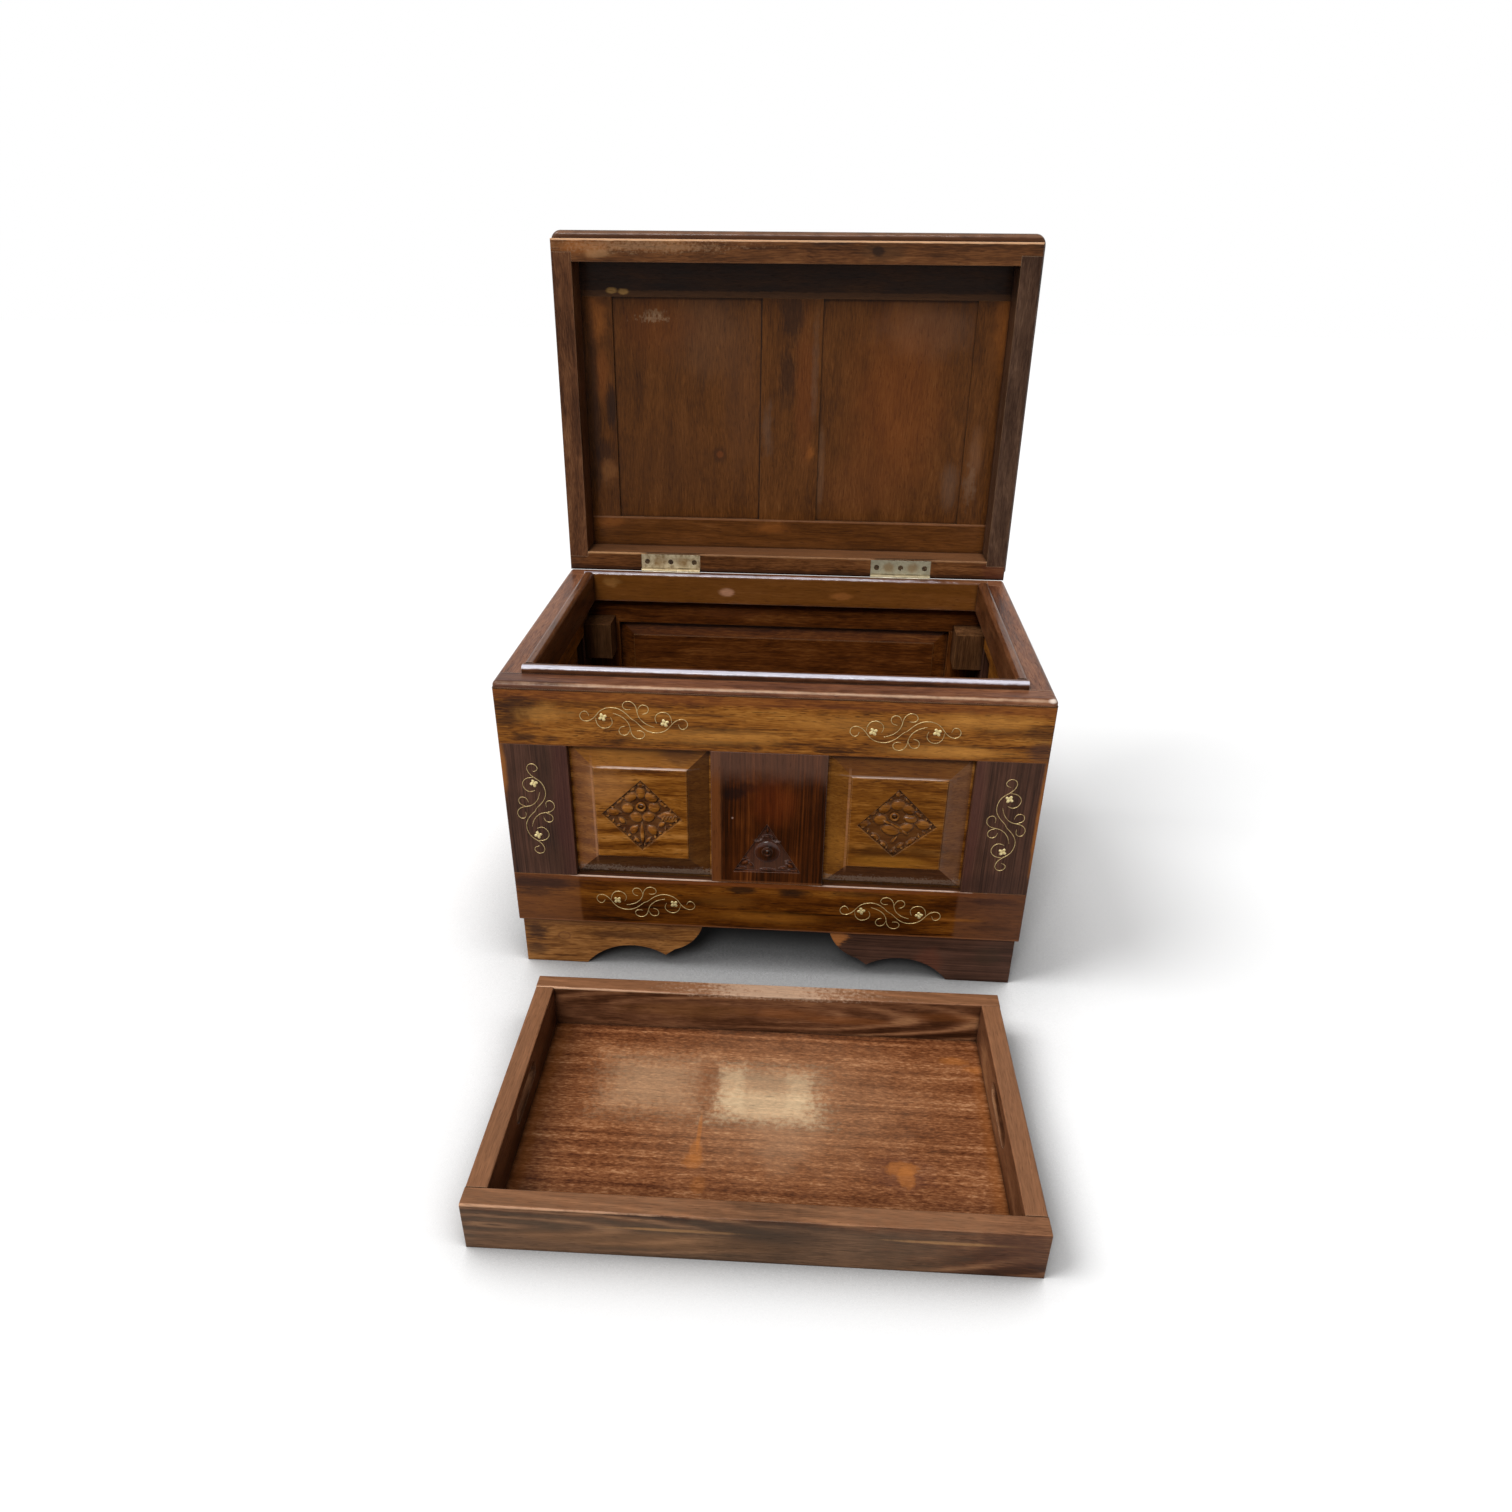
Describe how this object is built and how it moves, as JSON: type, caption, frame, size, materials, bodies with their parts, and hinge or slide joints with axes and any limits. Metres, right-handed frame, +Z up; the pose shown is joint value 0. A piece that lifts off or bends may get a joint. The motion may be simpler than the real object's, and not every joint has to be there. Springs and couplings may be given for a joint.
{
  "type": "dowry chest",
  "caption": "Wooden dowry chest on bracket feet with framed and carved panels, brass scroll inlay, a hinged lid that stands open and a lift-out tray with hand slots.",
  "frame": {"origin": "middle of the whole object's footprint at rest, on the floor, with the lid open and the tray on the floor in front", "axes": "+Z up, -Y towards the front of the chest and the tray, +X to the right seen from the front"},
  "size_m": [0.579, 0.8462, 0.7375],
  "materials": {
    "amber_wood": "gloss varnish",
    "dark_wood": "gloss varnish",
    "rim_wood": "gloss varnish",
    "inner_wood": "satin",
    "lid_wood": "worn gloss varnish",
    "tray_wood": "gloss varnish",
    "hinge_metal": "worn plating",
    "brass": "polished"
  },
  "bodies": {
    "chest": {"front_top_rail": "amber_wood", "front_bottom_rail": "amber_wood", "front_left_stile": "dark_wood", "front_right_stile": "dark_wood", "front_muntin": "dark_wood", "front_left_panel": "amber_wood", "front_right_panel": "amber_wood", "back_top_rail": "amber_wood", "back_bottom_rail": "amber_wood", "back_stiles": "dark_wood", "back_panel": "amber_wood", "left_top_rail": "amber_wood", "left_bottom_rail": "amber_wood", "left_stiles": "dark_wood", "left_panel": "amber_wood", "right_top_rail": "amber_wood", "right_bottom_rail": "amber_wood", "right_stiles": "dark_wood", "right_panel": "amber_wood", "bottom_board": "inner_wood", "rim_front": "rim_wood", "rim_back": "rim_wood", "rim_left": "rim_wood", "rim_right": "rim_wood", "lip_front": "rim_wood", "lip_back": "rim_wood", "lip_left": "rim_wood", "lip_right": "rim_wood", "tray_rest_blocks": "inner_wood", "front_left_foot": "dark_wood", "front_right_foot": "dark_wood", "back_left_foot": "dark_wood", "back_right_foot": "dark_wood", "left_front_foot": "dark_wood", "left_back_foot": "dark_wood", "right_front_foot": "dark_wood", "right_back_foot": "dark_wood", "foot_blocks": "inner_wood", "hinge_chest_leaves": "hinge_metal", "hinge_pins": "hinge_metal", "chest_hinge_screws": "hinge_metal", "brass_inlay": "brass"},
    "lid": {"lid_front_board": "lid_wood", "lid_back_board": "lid_wood", "lid_left_board": "lid_wood", "lid_right_board": "lid_wood", "lid_front_rail": "lid_wood", "lid_back_rail": "lid_wood", "lid_left_stile": "lid_wood", "lid_right_stile": "lid_wood", "lid_muntin": "lid_wood", "lid_left_panel": "lid_wood", "lid_right_panel": "lid_wood", "hinge_lid_leaves": "hinge_metal", "lid_hinge_screws": "hinge_metal"},
    "tray": {"tray_front_board": "tray_wood", "tray_back_board": "tray_wood", "tray_left_board": "tray_wood", "tray_right_board": "tray_wood", "tray_bottom_board": "tray_wood"}
  },
  "joints": [
    {"name": "lid_hinge", "type": "hinge", "parent": "chest", "child": "lid", "pos_m": [0, 0.34403, 0.3504], "axis": [1, 0, 0], "range_deg": [0, 92.5]},
    {"name": "tray_lift", "type": "slide", "parent": "chest", "child": "tray", "axis": [0, 0, 1], "range_m": [0, 0.4]}
  ]
}
